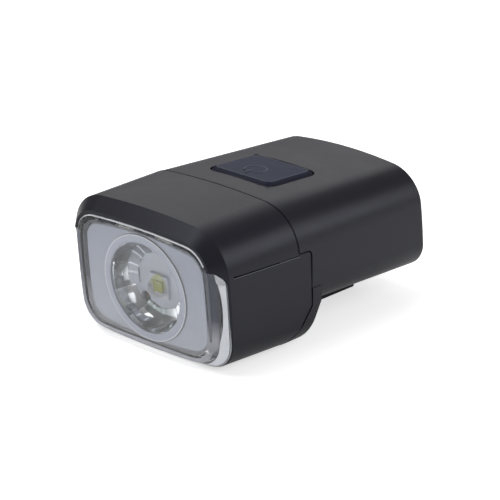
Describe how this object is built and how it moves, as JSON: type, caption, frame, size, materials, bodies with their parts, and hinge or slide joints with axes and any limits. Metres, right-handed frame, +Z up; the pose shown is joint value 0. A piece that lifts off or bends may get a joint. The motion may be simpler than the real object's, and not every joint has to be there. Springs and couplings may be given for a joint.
{
  "type": "bicycle headlight",
  "caption": "Compact rechargeable handlebar light: hooded clear lens, petalled reflector, thumb button on top, charging port with a hinged flap, slide-in shoe below.",
  "frame": {"origin": "centre of the flat foot of the slide-in shoe", "axes": "+Z up, the beam leaves along -Y, +X is the rider's left"},
  "size_m": [0.0458, 0.0685, 0.0326],
  "materials": {
    "housing": "satin black, fine texture",
    "clear": "clear polycarbonate",
    "seal": "matte",
    "bezel": "satin silver-grey paint",
    "mirror_coat": "bright vacuum coating",
    "white_board": "satin white solder mask",
    "pad": "soft grey pad",
    "ceramic": "glazed ceramic",
    "phosphor": "yellow-green phosphor",
    "metal": "as machined",
    "steel": "plated steel",
    "cell_wrap": "shrink sleeve",
    "tape": "foam tape",
    "circuit_board": "green solder mask",
    "switch_case": "moulded, slight gloss",
    "switch_tip": "moulded",
    "button_rubber": "satin blue-grey silicone",
    "cover_rubber": "matte",
    "chip_case": "moulded epoxy",
    "ferrite": "sintered, matte",
    "header_case": "natural nylon",
    "red_sleeve": "insulated lead",
    "black_sleeve": "insulated lead"
  },
  "bodies": {
    "lamp": {"front_housing": "housing", "rear_housing": "housing", "front_lens": "clear", "lens_gasket": "seal", "bezel_plate": "bezel", "reflector": "mirror_coat", "led_board": "white_board", "thermal_pad": "pad", "led_base": "ceramic", "led_phosphor": "phosphor", "led_dome": "clear", "heat_sink": "metal", "reflector_screws": "steel", "heat_sink_screws": "steel", "housing_seal": "seal", "housing_screws": "steel", "battery_cell": "cell_wrap", "battery_tape": "tape", "main_board": "circuit_board", "board_screws": "steel", "switch_body": "switch_case", "button_diaphragm": "seal", "diaphragm_frame": "housing", "usb_shell": "steel", "usb_blade": "switch_case", "cover_anchor": "cover_rubber", "mount_shoe": "housing", "shoe_screws": "steel", "controller_chip": "chip_case", "charger_chip": "chip_case", "power_inductor": "ferrite", "chip_capacitors": "ceramic", "led_header": "header_case", "battery_header": "header_case", "led_lead_red": "red_sleeve", "led_lead_black": "black_sleeve", "battery_lead_red": "red_sleeve", "battery_lead_black": "black_sleeve"},
    "button": {"button_cap": "button_rubber"},
    "plunger": {"switch_plunger": "switch_tip"},
    "cover": {"port_cover": "cover_rubber"}
  },
  "joints": [
    {"name": "button_press", "type": "slide", "parent": "lamp", "child": "button", "axis": [0, 0, -1], "range_m": [0, 0.0005], "stiffness_N_per_m": 3000},
    {"name": "plunger_press", "type": "slide", "parent": "lamp", "child": "plunger", "axis": [0, 0, -1], "range_m": [0, 0.0005]},
    {"name": "flap_hinge", "type": "hinge", "parent": "lamp", "child": "cover", "pos_m": [0, 0.01815, 0.02047], "axis": [-1, 0, 0], "range_deg": [0, 90]}
  ],
  "couplings": [
    {"joint": "plunger_press", "follows": "button_press", "ratio": 1}
  ]
}
